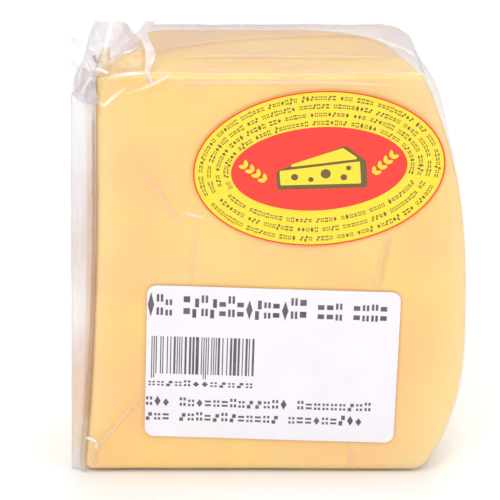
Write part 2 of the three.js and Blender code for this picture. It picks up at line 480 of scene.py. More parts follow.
def cheese_material(colours):
    material, wires, at = blank_material("cheese paste")
    shade, height = mottle(wires, at, 38.0, 900.0, 0.25)
    # Paler towards the cut's edges: partly dried cheese, partly a painted highlight where the
    # rounded edges catch the light.
    edge = wires.node("ShaderNodeAttribute", attribute_name="edge_share").outputs["Fac"]
    streaks = wires.node("ShaderNodeMapping", {"Vector": at, "Scale": (9.0, 9.0, 60.0)}).outputs[0]
    streak = wires.noise(streaks, 1.6, 2.0)
    pale = wires.math("ADD", edge, wires.remap(shade, 0.35, 0.7, -0.12, 0.22))
    pale = wires.math("ADD", pale, wires.remap(streak, 0.4, 0.7, -0.05, 0.08))
    pale = wires.remap(pale, 0.0, 1.0)
    patch = wires.remap(wires.noise(at, 52.0, 2.0), 0.38, 0.64)
    base = wires.mix(patch, rgba(colours.paste), rgba(colours.paste_warm))
    base = wires.mix(pale, base, rgba(colours.paste_pale))
    cell = wires.node("ShaderNodeTexVoronoi", {"Vector": at, "Scale": 105.0, "Randomness": 1.0})
    spot = wires.remap(cell.outputs["Distance"], 0.045, 0.015)
    rare = wires.remap(wires.noise(at, 60.0, 1.0), 0.55, 0.6)
    speck = wires.math("MULTIPLY", spot, rare)
    base = wires.mix(wires.math("MULTIPLY", speck, 0.35), base, rgba(colours.paste, 0.45))
    pores = wires.math("SUBTRACT", height, wires.math("MULTIPLY", speck, 0.6))
    inputs = {
        "Base Color": base,
        "Roughness": wires.remap(shade, 0.3, 0.7, 0.42, 0.55),
        "Normal": bumped(wires, pores, 0.00022, 0.5),
        "Subsurface Weight": 0.12,
        "Subsurface Scale": 0.004,
        "Specular IOR Level": 0.35,
    }
    shader = wires.node("ShaderNodeBsdfPrincipled", inputs)
    shader.inputs["Subsurface Radius"].default_value = (1.0, 0.55, 0.2)
    finish_material(wires, shader.outputs[0])
    return material


FILM_IOR, FILM_GLOSS_ROUGHNESS = 1.42, 0.11
MOST_MIRROR = 0.13  # holds back the mirror that many layers seen edge-on would build up


def film_material():
    """Clear film: its haze and tint come from each point's tone, its gloss from the lights."""
    found = bpy.data.materials.get("clear film")
    if found:
        return found
    material, wires, at = blank_material("clear film")
    tone = wires.node("ShaderNodeAttribute", attribute_name="film_tone")
    shade, height = mottle(wires, at, 55.0, 420.0, 0.12)
    crinkle = wires.node("ShaderNodeMapping", {"Vector": at, "Scale": (1.0, 1.0, 2.2)}).outputs[0]
    crinkle = wires.noise(crinkle, 130.0, 3.0)
    height = wires.math("ADD", height, wires.math("MULTIPLY", crinkle, 0.35))
    normal = bumped(wires, height, 0.0011, 0.6)
    patch = wires.remap(shade, 0.3, 0.7, 0.8, 1.2)
    inputs = {
        "Base Color": tone.outputs["Color"],
        "Alpha": wires.math("MULTIPLY", tone.outputs["Alpha"], patch),
        "Roughness": 0.3,
        "Normal": normal,
        "Specular IOR Level": 0.5,
    }
    haze = wires.node("ShaderNodeBsdfPrincipled", inputs).outputs[0]
    polish = {"Roughness": FILM_GLOSS_ROUGHNESS, "Normal": normal}
    gloss = wires.node("ShaderNodeBsdfGlossy", polish).outputs[0]
    mirror = wires.node("ShaderNodeFresnel", {"IOR": FILM_IOR, "Normal": normal}).outputs[0]
    mirror = wires.math("MINIMUM", mirror, MOST_MIRROR)
    inside = wires.node("ShaderNodeNewGeometry").outputs["Backfacing"]
    outside = wires.math("SUBTRACT", 1.0, inside)
    mirror = wires.math("MULTIPLY", mirror, outside)
    mixed = wires.node("ShaderNodeMixShader", {0: mirror, 1: haze, 2: gloss}).outputs[0]
    finish_material(wires, mixed)
    return material


def paper_material(name, rgb, rough, contrast, coat=0.0):
    """Printed or plain label stock, with faint fibre shading."""
    material, wires, at = blank_material(name)
    shade, height = mottle(wires, at, 140.0, 2600.0, 0.5)
    fibre = wires.remap(height, 0.5, 1.0)
    inputs = {
        "Base Color": wires.mix(fibre, rgba(rgb, 1 - contrast), rgba(rgb, 1 + contrast)),
        "Roughness": wires.remap(shade, 0.3, 0.7, rough - 0.06, rough + 0.06),
        "Normal": bumped(wires, height, 0.00004, 0.5),
        "Coat Weight": coat,
        "Coat Roughness": 0.2,
    }
    finish_material(wires, wires.node("ShaderNodeBsdfPrincipled", inputs).outputs[0])
    return material


def ink_material(name, rgb, rough, fade):
    """Print that is a little uneven, as ink and thermal print are."""
    material, wires, at = blank_material(name)
    shade, height = mottle(wires, at, 260.0, 3200.0, 0.6)
    paler = tuple(lerp(c, 0.75, fade) for c in rgb)
    inputs = {
        "Base Color": wires.mix(wires.remap(height, 0.55, 1.05), rgba(rgb), rgba(paler)),
        "Roughness": wires.remap(shade, 0.3, 0.7, rough - 0.05, rough + 0.05),
        "Normal": bumped(wires, height, 0.00002, 0.4),
    }
    finish_material(wires, wires.node("ShaderNodeBsdfPrincipled", inputs).outputs[0])
    return material


# ---------------------------------------------------------------- geometry node trees


def evaluated_mesh(source, tree, inputs, name):
    """source run through a geometry node tree, as a plain mesh."""
    modifier = source.modifiers.new("shape", "NODES")
    modifier.node_group = tree
    for item in tree.interface.items_tree:
        if item.item_type == "SOCKET" and item.in_out == "INPUT" and item.name in inputs:
            modifier[item.identifier] = inputs[item.name]
    bpy.context.view_layer.update()
    seen = source.evaluated_get(bpy.context.evaluated_depsgraph_get())
    mesh = bpy.data.meshes.new_from_object(seen)
    mesh.name = name
    bpy.data.objects.remove(source)
    return mesh


def carrier(name, points, edges, numbers):
    """A hidden mesh of points, with a named list of numbers or vectors on them."""
    mesh = bpy.data.meshes.new(name)
    mesh.from_pydata(points, edges, [])
    for key, values in numbers.items():
        first = values[0]
        if isinstance(first, int):
            mesh.attributes.new(key, "INT", "POINT").data.foreach_set("value", values)
        elif isinstance(first, float):
            mesh.attributes.new(key, "FLOAT", "POINT").data.foreach_set("value", values)
        elif len(first) == 3:
            flat = [c for v in values for c in v]
            mesh.attributes.new(key, "FLOAT_VECTOR", "POINT").data.foreach_set("vector", flat)
        else:
            flat = [c for v in values for c in v]
            mesh.attributes.new(key, "FLOAT_COLOR", "POINT").data.foreach_set("color", flat)
    made = bpy.data.objects.new(name, mesh)
    bpy.context.collection.objects.link(made)
    return made


def new_tree(name, sockets):
    tree = bpy.data.node_groups.new(name, "GeometryNodeTree")
    tree.interface.new_socket("Geometry", in_out="INPUT", socket_type="NodeSocketGeometry")
    for key, kind in sockets.items():
        tree.interface.new_socket(key, in_out="INPUT", socket_type=kind)
    tree.interface.new_socket("Geometry", in_out="OUTPUT", socket_type="NodeSocketGeometry")
    wires = Wiring(tree)
    return tree, wires, wires.node("NodeGroupInput").outputs


def named(wires, name, data_type):
    made = wires.node("GeometryNodeInputNamedAttribute", data_type=data_type)
    made.inputs["Name"].default_value = name
    return made.outputs["Attribute"]


def close_tree(wires, geometry, material):
    realized = wires.node("GeometryNodeRealizeInstances", {"Geometry": geometry}).outputs[0]
    painted = wires.node("GeometryNodeSetMaterial", {"Geometry": realized, "Material": material})
    wires.feed(wires.node("NodeGroupOutput").inputs[0], painted.outputs[0])


def pleat_tree():
    """A low ridge swept along each line, as wide as its points say. "middle" is 1 on its crest."""
    tree, wires, given = new_tree(
        "film pleats", {"Ridge": "NodeSocketFloat", "Material": "NodeSocketMaterial"}
    )
    curve = wires.node("GeometryNodeMeshToCurve", {"Mesh": given["Geometry"]}).outputs[0]
    turned = wires.node("GeometryNodeSetCurveNormal", {"Curve": curve}, mode="FREE")
    wires.feed(turned.inputs["Normal"], named(wires, "facing", "FLOAT_VECTOR"))
    width = {"Curve": turned.outputs[0], "Radius": named(wires, "width", "FLOAT")}
    sized = wires.node("GeometryNodeSetCurveRadius", width).outputs[0]
    section = wires.node("GeometryNodeCurvePrimitiveQuadrilateral", mode="POINTS")
    ridge = wires.node("ShaderNodeCombineXYZ", {"X": given["Ridge"]}).outputs[0]
    wires.feed(section.inputs["Point 1"], ridge)
    section.inputs["Point 2"].default_value = (0, 0.5, 0)
    section.inputs["Point 3"].default_value = (-0.02, 0, 0)
    section.inputs["Point 4"].default_value = (0, -0.5, 0)
    odd = wires.math("MODULO", wires.node("GeometryNodeInputIndex").outputs[0], 2.0)
    kept = wires.math("SUBTRACT", 1.0, odd)
    inputs = {"Geometry": section.outputs[0], "Name": "middle", "Value": kept}
    faded = wires.node("GeometryNodeStoreNamedAttribute", inputs, data_type="FLOAT", domain="POINT")
    inputs = {"Curve": sized, "Profile Curve": faded.outputs[0], "Fill Caps": True}
    swept = wires.node("GeometryNodeCurveToMesh", inputs).outputs[0]
    close_tree(wires, swept, given["Material"])
    return tree


def print_tree():
    """One raised mark on each point, picked from the collection as the point's kind says."""
    tree, wires, given = new_tree(
        "print marks", {"Marks": "NodeSocketCollection", "Material": "NodeSocketMaterial"}
    )
    marks = wires.node(
        "GeometryNodeCollectionInfo", {"Collection": given["Marks"]}, transform_space="ORIGINAL"
    )
    marks.inputs["Separate Children"].default_value = True
    marks.inputs["Reset Children"].default_value = True
    turn = wires.node("ShaderNodeCombineXYZ", {"Y": named(wires, "turn", "FLOAT")}).outputs[0]
    scale = wires.node(
        "ShaderNodeCombineXYZ",
        {"X": named(wires, "wide", "FLOAT"), "Y": 1.0, "Z": named(wires, "tall", "FLOAT")},
    ).outputs[0]
    inputs = {
        "Points": given["Geometry"],
        "Instance": marks.outputs[0],
        "Pick Instance": True,
        "Instance Index": named(wires, "kind", "INT"),
        "Rotation": turn,
        "Scale": scale,
    }
    placed = wires.node("GeometryNodeInstanceOnPoints", inputs).outputs[0]
    close_tree(wires, placed, given["Material"])
    return tree


# ---------------------------------------------------------------- cheese


def build_cheese(s, colours):
    rings = block_rings(s, 0, 0, *CHEESE_STEPS)
    points, faces = skinned(rings)
    normals = normals_of(points, faces)
    shaped, edges = [], []
    for p, n in zip(points, normals):
        dent = wobble(p.x, p.y, p.z, 0.04, 5.7) + 0.35 * wobble(p.x, p.y, p.z, 0.17, 1.9)
        shaped.append(p + n * s["waviness"] * dent)
        edges.append(edge_share(s, p))
    piece = make_piece("cheese", shaped, faces, cheese_material(colours), "cheese_wedge")
    # Stored per point: the edges' painted highlight together with their dried paleness.
    layer = piece.data.attributes.new("edge_share", "FLOAT", "POINT")
    layer.data.foreach_set("value", edges)
    return piece


def edge_share(s, p):
    """How near a point is to the cut's edges, painted paler there: partly cheese dried paler,
    partly a painted highlight where the rounded edges catch the light.
    """
    from_left = p.x - left_line(s, p.z)
    from_rim = rim_line(s, p.z) - p.x
    near_left = 0.75 * math.exp(-max(from_left, 0) / 3.0)
    near_rim = 0.85 * math.exp(-max(from_rim, 0) / 4.5)
    near_foot = 0.5 * math.exp(-max(p.z, 0) / 3.0)
    near_top = 0.25 * math.exp(-max(s["height"] - p.z, 0) / 2.0)
    return min(near_left + near_rim + near_foot + near_top, 1)


# ---------------------------------------------------------------- film


def solidified(piece, thickness):
    wall = piece.modifiers.new("film thickness", "SOLIDIFY")
    wall.thickness = thickness * MM
    wall.offset = 0
    return piece


def tone(rgb, haze):
    """A colour and a haze for film that is seen through both of its faces."""
    return (*rgb, 1 - math.sqrt(1 - min(max(haze, 0), 0.99)))


def blend_tone(a, b, share):
    return tuple(lerp(x, y, share) for x, y in zip(a, b))


# The line over the top, X and Y, where the film stops clinging and stands off to the back.
CLING_LINE = [(-34, 18), (-21, 21), (-16, 26), (-5, 32), (7, 35.4), (19, 37.4), (26, 36.2)]
CLING_LINE += [(30.4, 32.5), (33.2, 26), (35.2, 19.5), (36.8, 14), (38.2, 8), (39.4, 3), (40.2, 0)]


def beyond_cling(p):
    """How far a point on top lies behind the line where the film clings, in millimetres."""
    return p.y - line_at(CLING_LINE, p.x)


def pouch_tone(s, colours, p, n):
    haze, root_shade = tuple(colours.film_haze), tuple(colours.film_root_shade)
    patch = wobble(p.x, p.y, p.z, 0.07, 4.4)
    clear = tone(haze, 0.035 + 0.02 * patch)
    side = tone(haze, 0.17 + 0.08 * patch)
    made = blend_tone(side, clear, smooth(-n.y, 0.0, 0.3))
    upper = smooth(n.z, 0.35, 0.85)
    beyond = beyond_cling(p)
    top = blend_tone(tone(haze, 0.03), tone(haze, 0.15), smooth(p.y, 14, 20))
    top = blend_tone(top, tone(haze, 0.33 + 0.06 * patch), smooth(beyond, -0.4, 0.8))
    top = blend_tone(top, tone(haze, 0.6), smooth(p.y, s["depth"] - 3, s["depth"] + 1))
    made = blend_tone(made, top, upper)
    lifted = smooth(p.y, 12, 30) * smooth(p.x, 24, 38) * smooth(p.z, 40, 82)
    made = blend_tone(made, tone(haze, 0.46), lifted * (1 - 0.5 * upper))
    rim = smooth(n.x, 0.9, 1.0) + smooth(n.y, -0.1, 0.1) * smooth(n.x, 0.5, 0.8)
    made = blend_tone(made, tone(haze, lerp(0.05, 0.3, smooth(p.z, 60, 88))), min(rim, 1) * 0.8)
    glow = smooth(beyond, 0, 3) * smooth(p.x, 14, 24) * smooth(p.x, 37, 31) * upper
    made = blend_tone(made, tone((0.84, 0.62, 0.52), 0.5), glow * 0.6)
    lap = smooth(n.y, 0.6, 0.9) * smooth(abs(p.x - 2), 4.6, 4.2)
    made = blend_tone(made, tone(haze, 0.3 + 0.08 * patch), lap)
    # Painted shadow: a dark brown band on the film where it turns round the cheese's left edge.
    root = smooth(-n.x, 0.8, 0.98) * smooth(p.y, 9, 3)
    return blend_tone(made, tone(root_shade, 0.35), root * 0.8)


def pouch_push(s, p, n):
    """How far the film moves out from its even stand-off."""
    on_front = smooth(-n.y, 0.6, 0.95)
    on_foot = smooth(-n.z, 0.3, 0.8)
    even = film_front(s, p.x, p.z) - s["film_stand_off"]
    long_folds = wobble(p.x * 0.6, p.y, p.z * 0.35, 0.16, 2.2 + s["film_seed"])
    short_folds = abs(wobble(p.x, p.y, p.z, 0.28, 7.7 + s["film_seed"]))
    loose = 0.3 + 0.5 * long_folds + 0.45 * short_folds
    slack = 0.35 + 0.65 * smooth(abs(n.x) + max(n.y, 0), 0.2, 0.9)
    slack *= lerp(1, 0.3, smooth(n.x, 0.2, 0.8) * smooth(p.y, 34, 20))
    lift = 0.75 * smooth(beyond_cling(p), 0, 6) * smooth(n.z, 0.3, 0.8)
    clings = smooth(n.x, 0.3, 0.8) * smooth(p.y, 16, 6)
    push = lerp(loose * slack + lift, even, on_front)
    push = lerp(push, lerp(-0.2, 0.9, smooth(p.z, 80, 92)), clings)
    push = lerp(push, 0.12 * long_folds, on_foot)
    return max(push, -0.22)


def pouch_shape(s):
    """The pouch's even skin, the way each of its points faces, its creased skin and its faces."""
    rings = block_rings(s, s["film_stand_off"], 1, *FILM_STEPS)
    points, faces = skinned(rings)
    normals = normals_of(points, faces)
    shaped = [p + n * pouch_push(s, p, n) for p, n in zip(points, normals)]
    return points, normals, shaped, faces


def build_pouch(s, colours):
    points, normals, shaped, faces = pouch_shape(s)
    tones = [pouch_tone(s, colours, p, n) for p, n in zip(points, normals)]
    piece = make_piece("film_pouch", shaped, faces, film_material(), "film_wrap", tones)
    return solidified(piece, s["film_thickness"])


def grid_faces(rows, columns, start=0):
    faces = []
    for r in range(rows - 1):
        for c in range(columns - 1):
            a = start + r * columns + c
            faces.append((a, a + 1, a + columns + 1, a + columns))
    return faces


def build_seam(s):
    """The trimmed seam that stands out past the left cut edge."""
    rows, columns = 130, 22
    top = s["height"] - 1.5
    points, tones = [], []
    for r in range(rows):
        h = lerp(-0.3, top, r / (rows - 1))
        root = left_line(s, max(h, 0)) + 0.6
        trim = lerp(s["film_seam_foot"], s["film_seam_top"], h / s["height"])
        trim += 0.12 * wobble(0, 0, h, 0.13, 3) + 2.6 * smooth(h, top - 4, top)
        for c in range(columns):
            u = c / (columns - 1)
            x = lerp(root, trim, u)
            roll = math.sin(math.pi * u) * (0.9 + 0.5 * wobble(u, 0, h, 0.05, 9))
            ripple = 0.45 * wobble(u * 6, 0, h * 0.5, 0.3, 6) * u
            y = lerp(0.5, 3.0, smooth(u, 0, 0.5)) - roll * smooth(u, 0.1, 0.4) + ripple
            points.append(Vector((x, y, h)))
            tones.append(seam_tone(u, h))
    piece = make_piece(
        "film_seam", points, grid_faces(rows, columns), film_material(), "film_wrap", tones
    )
    return solidified(piece, s["film_thickness"] * 2)


# The seam's tone by height: its outer strip and, nearer the cheese, its inner strip.
SEAM_TONES = [
    (0, (0.68, 0.62, 0.66), (0.74, 0.6, 0.42)),
    (9, (0.68, 0.5, 0.3), (0.62, 0.42, 0.16)),
    (19, (0.74, 0.44, 0.22), (0.64, 0.33, 0.14)),
    (30, (0.68, 0.48, 0.4), (0.62, 0.34, 0.2)),
    (40, (0.82, 0.74, 0.72), (0.72, 0.52, 0.36)),
    (54, (0.64, 0.49, 0.43), (0.64, 0.4, 0.27)),
    (64, (0.68, 0.6, 0.58), (0.6, 0.39, 0.25)),
    (76, (0.78, 0.73, 0.74), (0.66, 0.52, 0.44)),
    (92, (0.86, 0.8, 0.82), (0.8, 0.74, 0.72)),
]


def seam_tone(u, h):
    """The seam's tone at a share of its width, from its root out, and at a height."""
    heights = [stop[0] for stop in SEAM_TONES]
    k = max(i for i, height in enumerate(heights) if height <= max(h, 0))
    k = min(k, len(heights) - 2)
    share = smooth(h, heights[k], heights[k + 1])
    outer = blend_tone(SEAM_TONES[k][1], SEAM_TONES[k + 1][1], share)
    inner = blend_tone(SEAM_TONES[k][2], SEAM_TONES[k + 1][2], share)
    streak = 0.5 + 0.5 * wobble(u * 14, 0, h * 0.12, 0.6, 2)
    made = blend_tone(tone(inner, 0.78), tone(outer, 0.6 + 0.2 * streak), smooth(u, 0.3, 0.48))
    return blend_tone(made, tone((0.46, 0.4, 0.42), 0.62), smooth(u, 0.93, 1.0) * 0.7)


class Leaf:
    """A crumpled sheet of film lofted over rails: its tint, its haze and how far it crumples."""

    def __init__(self, rails, rgb, haze, crumple=0.8):
        self.rails = [[Vector(p) for p in rail] for rail in rails]
        self.rgb = rgb
        self.haze = haze
        self.crumple = crumple

    def mesh(self, along, across, seed):
        lines = [through(rail, along) for rail in self.rails]
        points, tones = [], []
        for r in range(along):
            column = through([line[r] for line in lines], across)
            for c, p in enumerate(column):
                u = c / (across - 1)
                slack = self.crumple * math.sin(math.pi * min(max(u, 0.02), 0.98)) ** 0.5
                points.append(p + crumple_shift(p, seed) * slack)
                at_edge = max(smooth(u, 0.1, 0.0), smooth(u, 0.9, 1.0))
                patch = 1 + 0.45 * wobble(p.x, p.y, p.z, 0.3, seed + 3)
                made = tone(self.rgb, self.haze * patch)
                edge = tone(self.rgb, self.haze * 0.55)
                tones.append(blend_tone(made, edge, at_edge))
        return points, tones


def crumple_shift(p, seed):
    """A folded shove for a point of crumpled film: broad swells with sharp creases on them."""
    swell = wobble(p.x, p.y, p.z, 0.22, seed + 5)
    broad = abs(wobble(p.x, p.y * 0.5, p.z, 0.34, seed + 2))
    fine = abs(wobble(p.x, p.y, p.z, 0.8, seed + 6))
    crease = broad + 0.5 * fine
    side = wobble(p.x, p.y, p.z, 0.4, seed)
    lift = wobble(p.x, p.y, p.z, 0.4, seed + 9)
    return Vector((0.3 * side, 0.9 * swell - 1.5 * crease, 0.25 * lift))


def ear_leaves():
    """The gathered film over the top left corner, sheet by sheet, in block millimetres."""
    grey = (0.66, 0.58, 0.62)
    pink = (0.74, 0.62, 0.62)
    white = (0.82, 0.73, 0.76)
    gold = (0.92, 0.64, 0.2)
    # tan is a painted reflection of the cheese in the film.
    tan = (0.7, 0.48, 0.22)
    outer = [(-39.6, 3.2, 90.5), (-39.4, 3, 94.3), (-37.7, 3.5, 97.4), (-36.5, 4.2, 100.7)]
    outer += [(-35.7, 5, 104), (-34.5, 6, 106.6)]
    middle = [(-37.4, 0.4, 89.5), (-37.2, 0.6, 93.6), (-35.9, 1.2, 97.7), (-34.8, 2.2, 101.3)]
    middle += [(-33.9, 3.6, 104.4), (-32.9, 4.8, 106.7)]
    inner = [(-33.9, 0.8, 88.6), (-34.2, 1, 93), (-33.3, 1.6, 98), (-32.2, 2.8, 101.6)]
    inner += [(-31.4, 4.4, 104.6), (-30.9, 6, 106.5)]
    second = [(-31.6, 1.4, 98.4), (-31.6, 3, 102.4), (-30.3, 5.5, 106.6)]
    second_mid = [(-28.4, 3.6, 99.4), (-28.6, 5, 102.8), (-28.6, 6.8, 106.5)]
    second_end = [(-24.2, 8.2, 100), (-25.2, 8.6, 102.2), (-27.4, 8.6, 105.2)]
    band_left = [(-23.6, 14, 104.8), (-25.1, 12.5, 102.5), (-23.6, 9, 99.4), (-23.3, 5, 96.9)]
    band_left += [(-23.6, 2, 95.8), (-22.6, -0.6, 94)]
    band_right = [(-21.2, 15, 104.6), (-23, 13, 101.9), (-21.1, 9, 98.5), (-21.8, 5, 96.7)]
    band_right += [(-22.1, 1, 95.5), (-21.3, -1.1, 93.8)]
    lobe_left = [(-37.2, 1.6, 97.2), (-37.8, 0, 94), (-37.3, -0.9, 91.5), (-36, -1.3, 90.2)]
    lobe_mid = [(-35.9, 0.6, 96.8), (-36, -1.3, 93.8), (-35.6, -1.9, 91.2), (-34.8, -1.9, 89.7)]
    lobe_right = [(-34.3, 0.8, 96.3), (-34.3, -0.6, 93.4), (-33.6, -1.2, 91.2), (-33.4, -1.3, 89.6)]
    tuck_left = [(-35, 0.6, 95.2), (-34, 1.1, 98.2), (-32.6, 2.2, 101.4)]
    tuck_right = [(-31, 0.4, 95.5), (-30.8, 1.6, 98.4), (-31.2, 2.6, 101.4)]
    blade_low = [(-32.6, -1, 89.8), (-30.8, -1, 91.1), (-27.6, -0.9, 92.4), (-23.1, -1.1, 93.5)]
    blade_low += [(-21.1, -1.4, 94.2), (-18.9, -1.7, 95.5), (-17.5, -1.8, 96.7)]
    blade_top = [(-33.2, 0, 95), (-31.3, 0.5, 95.4), (-28.3, 0.5, 95.9), (-25.3, 0.2, 96.4)]
    blade_top += [(-21.9, -0.5, 96.8), (-19.2, -1.3, 97), (-17.4, -1.8, 96.9)]
    pocket_low = [(-31.2, 0.8, 96), (-28.3, 1, 96.8), (-24, 1.6, 97)]
    pocket_top = [(-31.2, 3.4, 99.2), (-28, 5, 99.6), (-24.2, 8, 99.9)]
    tag_high = [(-39.9, 5, 103.2), (-38.4, 5, 102.7), (-36.2, 4.8, 101.6)]
    tag_high_low = [(-39.9, 5, 101.7), (-38.4, 4.8, 101.3), (-36.4, 4.4, 100.9)]
    tag_low = [(-39.9, 5, 97.9), (-38.9, 4.4, 97.4), (-37.6, 3.6, 96.7)]
    tag_low_low = [(-39.9, 5, 96.6), (-38.9, 4.2, 96), (-38, 3.4, 95.4)]
    return [
        Leaf([outer, middle, inner], grey, 0.5, 0.9),
        Leaf([second, second_mid, second_end], pink, 0.62, 0.9),
        Leaf([band_left, band_right], white, 0.72, 0.3),
        Leaf([lobe_left, lobe_mid, lobe_right], grey, 0.62, 0.6),
        # Painted reflection: a tan sheet where the film mirrors the cheese.
        Leaf([tuck_left, tuck_right], tan, 0.55, 0.7),
        Leaf([blade_low, blade_top], gold, 0.12, 0.3),
        Leaf([pocket_low, pocket_top], gold, 0.14, 0.5),
        Leaf([tag_high, tag_high_low], grey, 0.3, 0.1),
        Leaf([tag_low, tag_low_low], grey, 0.36, 0.1),
    ]


def build_ear(s):
    points, faces, tones = [], [], []
    along, across = 48, 30
    for k, leaf in enumerate(ear_leaves()):
        leaf_points, leaf_tones = leaf.mesh(along, across, s["film_seed"] + 3.1 * k)
        faces += grid_faces(along, across, len(points))
        points += leaf_points
        tones += leaf_tones
    piece = make_piece("film_ear", points, faces, film_material(), "film_wrap", tones)
    return solidified(piece, s["film_thickness"] * 1.4)


# ---------------------------------------------------------------- pleats


class Pleat:
    """A pleat, or a painted highlight or shadow line along a fold: its route, its width, its tone
    and the side it is on.
    """

    def __init__(self, route, width, rgb, haze, side="front", ends=(0.2, 0.2)):
        self.route = [Vector(p) for p in route]
        self.width = width
        self.rgb = rgb
        self.haze = haze
        self.side = side
        self.ends = ends


def pleats_of(s, colours):
    """The folds in the film, with painted highlights and painted shadow lines among them. A route
    on a side lies in its plane; a free one has X, Y and Z.
    """
    # glint and white are painted highlights on the film's folds and edges; soft is the film's own
    # creases.
    soft, white, glint = (0.9, 0.66, 0.46), (0.92, 0.86, 0.8), (1.0, 0.98, 0.96)
    # The next two colours paint shade in the film's folds.
    crease_shade, dark = (0.84, 0.5, 0.18), (0.3, 0.24, 0.1)
    grey = tuple(colours.film_haze)
    root = [(left_line(s, h) + 0.02, 0.1, h) for h in range(12, 91, 6)]
    made = [
        Pleat(
            [(-29.6, 85.4), (-26.8, 78.9), (-21.4, 70.3), (-16.9, 63.2), (-13.6, 60.1)],
            2.6, soft, 0.6, "front", (0.6, 0.2),
        ),
        # Painted highlight on a small fold.
        Pleat([(-14.7, 63.9), (-12.6, 63.2), (-10.2, 62.7)], 0.9, white, 0.8),
        Pleat([(-11.8, 61.5), (-12.9, 54), (-13.7, 46.4)], 1.8, soft, 0.55),
        Pleat([(-24.3, 20.6), (-30.3, 13.1), (-36.3, 5.5), (-37.3, 1.4)], 2.0, soft, 0.75),
        Pleat([(31.3, 58.9), (29.8, 52), (28.6, 45.2)], 1.8, soft, 0.6),
        # Painted shade on the darker side of the crease above.
        Pleat([(32.2, 58.6), (30.7, 52), (29.6, 45.4)], 1.5, crease_shade, 0.4),
        Pleat([(23.4, 7.5), (23.6, 4), (23.7, 0.6)], 1.5, soft, 0.6),
        # Painted highlights on a small fold at the foot.
        Pleat([(-38.5, 8.6), (-36.9, 8.4), (-35.7, 7.8)], 0.9, glint, 0.95),
        Pleat([(-35.9, 7.8), (-35.8, 6.8), (-36.1, 5.6)], 1.8, white, 0.9),
        Pleat([(-36.2, 5.4), (-36.4, 3.4), (-37, 1.2)], 1.3, soft, 0.7),
        # Painted shadow: a dark brown line down the cheese's left edge, where the film turns away.
        Pleat(root, 1.9, (0.56, 0.32, 0.15), 0.97, "free", (0.05, 0.1)),
        # Painted highlights along the gathered corner's folds.
        Pleat(
            [(-33.4, -2.4, 90.3), (-32.4, -2.4, 89.4), (-30.8, -2.2, 90.7), (-27.7, -1.8, 93.2)],
            0.75, glint, 0.97, "free", (0.5, 0.4),
        ),
        Pleat(
            [(-27.3, -1.8, 92), (-23.1, -2, 93.4), (-18.9, -2.3, 95.6), (-17.5, -2.3, 96.8)],
            0.7, white, 0.8, "free", (0.5, 0.3),
        ),
        Pleat(
            [(-31.3, -0.4, 95.2), (-28.3, -0.6, 95.9), (-25.3, -0.8, 96.3), (-22.5, -1.2, 96.5)],
            0.75, glint, 0.97, "free", (0.5, 0.4),
        ),
        Pleat(
            [(-29.6, 2.6, 99.3), (-27.2, 4.4, 99.9), (-24.6, 7.4, 100.3)],
            0.8, glint, 0.97, "free", (0.6, 0.4),
        ),
        # Painted shade in a fold of the gathered corner.
        Pleat(
            [(-34.6, -0.4, 100.4), (-34.2, -0.6, 99.4), (-33.6, -0.6, 98.2)],
            1.6, dark, 0.75, "free",
        ),
        # More painted highlights on the gathered corner's folds.
        Pleat(
            [(-35.6, 0.2, 102.4), (-35, 0, 101.6), (-34.2, 0, 101.3)],
            0.9, glint, 0.9, "free", (0.5, 0.5),
        ),
        Pleat(
            [(-22.6, -1.2, 96.8), (-22, -1.6, 95.2), (-21.2, -1.8, 93.9)],
            0.9, white, 0.8, "free",
        ),
        Pleat(
            [(-36.5, -0.4, 99), (-36, -0.6, 97.8), (-35.2, -0.6, 96.4)],
            2.0, white, 0.75, "free",
        ),
        Pleat(
            [(-34.2, -1.4, 97.4), (-32.8, -1.4, 97.2), (-31, -1.2, 96.2)],
            1.3, glint, 0.8, "free",
        ),
        Pleat(
            [(-37.2, -2.4, 91.8), (-36.4, -2.6, 93.8), (-34.9, -2.2, 96)],
            1.4, white, 0.75, "free",
        ),
        # Painted shade along the lobe's left side.
        Pleat([(-37.9, 0, 97), (-38.5, 0.4, 94.6), (-38.7, 0.6, 92)], 1.0, dark, 0.3, "free"),
        # Where the film lifts off the top: partly its fold, partly a painted highlight.
        Pleat(CLING_LINE[1:8], 1.8, (1.0, 0.8, 0.66), 0.55, "top"),
        # Painted highlights: the film's ridge over the rind corner, a line across the top, and the
        # rounded top edge seen from the front and from above.
        Pleat(
            [(28.4, 34), (30.4, 30.8), (34.3, 23.2), (36.3, 18), (38.1, 12.9)],
            1.5, glint, 0.97, "fold", (0.4, 0.2),
        ),
        Pleat([(-20, 15.2), (-4, 16.2), (14, 15.8), (33, 15)], 1.8, glint, 0.75, "top"),
        Pleat([(-18, 94), (0, 94.1), (20, 94), (33, 93.4)], 2.4, (0.92, 0.8, 0.74), 0.5),
        Pleat([(-17, 3.4), (0, 2.6), (20, 1.9), (35, 1.2)], 2.0, white, 0.5, "top"),
        Pleat([(-2.4, 3), (-2.2, 48), (-2.4, 91)], 0.9, grey, 0.8, "back", (0.02, 0.02)),
        Pleat([(6.4, 3), (6.2, 48), (6.5, 91)], 0.9, grey, 0.8, "back", (0.02, 0.02)),
    ]
    return made + stray_creases(s)


